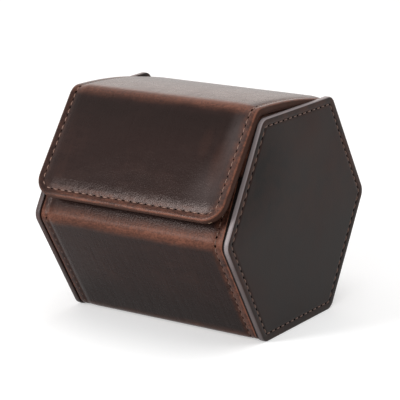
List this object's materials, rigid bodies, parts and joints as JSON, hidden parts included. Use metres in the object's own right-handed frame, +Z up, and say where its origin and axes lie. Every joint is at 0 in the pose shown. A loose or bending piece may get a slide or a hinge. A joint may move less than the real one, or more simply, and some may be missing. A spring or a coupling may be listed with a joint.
{
  "type": "watch display box",
  "caption": "Hexagonal leather watch box with a bent flap over its top and front, a leather hinge along the back edge and a lift-out cushion inside.",
  "frame": {"origin": "middle of the base, on the table under the body: z = 0 is the bottom edge of the end panels, and the body leather's bottom is 0.4 mm above it", "axes": "+X runs along the case from the left end panel to the right one, -Y is the front that the flap closes over, +Z is up"},
  "size_m": [0.0976, 0.1103, 0.0983],
  "materials": {
    "body_leather": "satin",
    "end_leather": "satin",
    "suede": "matte",
    "board": "matte",
    "foam": "matte",
    "magnet": "satin"
  },
  "bodies": {
    "case": {"left_end_leather": "end_leather", "left_end_board": "board", "left_end_lining": "suede", "right_end_leather": "end_leather", "right_end_board": "board", "right_end_lining": "suede", "body_leather": "body_leather", "body_lining": "suede", "lip_board": "board", "lower_front_board": "board", "bottom_board": "board", "lower_back_board": "board", "upper_back_board": "board", "left_rail": "body_leather", "right_rail": "body_leather", "catch_block": "board", "catch_cover": "body_leather", "catch_magnets": "magnet", "hinge_leather": "body_leather", "hinge_lining": "suede"},
    "flap_top": {"flap_top_leather": "body_leather", "flap_top_board": "board", "flap_top_lining": "suede", "flap_crease_leather": "body_leather", "flap_crease_lining": "suede"},
    "flap_front": {"flap_front_leather": "body_leather", "flap_front_board": "board", "flap_front_lining": "suede", "flap_magnets": "magnet"},
    "cushion": {"cushion_core": "foam", "cushion_cover": "suede", "left_cushion_cap": "suede", "right_cushion_cap": "suede"}
  },
  "joints": [
    {"name": "flap_hinge", "type": "hinge", "parent": "case", "child": "flap_top", "pos_m": [0, 0.02713, 0.09143], "axis": [-1, 0, 0], "range_deg": [0, 170], "deforming": ["hinge_leather", "hinge_lining"]},
    {"name": "flap_crease", "type": "hinge", "parent": "flap_top", "child": "flap_front", "pos_m": [0, -0.0274, 0.09691], "axis": [-1, 0, 0], "range_deg": [0, 30], "deforming": ["flap_crease_leather", "flap_crease_lining"]},
    {"name": "cushion_lift", "type": "slide", "parent": "case", "child": "cushion", "axis": [0, -0.0958, 0.9954], "range_m": [0, 0.095]}
  ],
  "couplings": [
    {"joint": "cushion_lift", "follows": "flap_hinge", "m_per_rad": 0.03201}
  ]
}
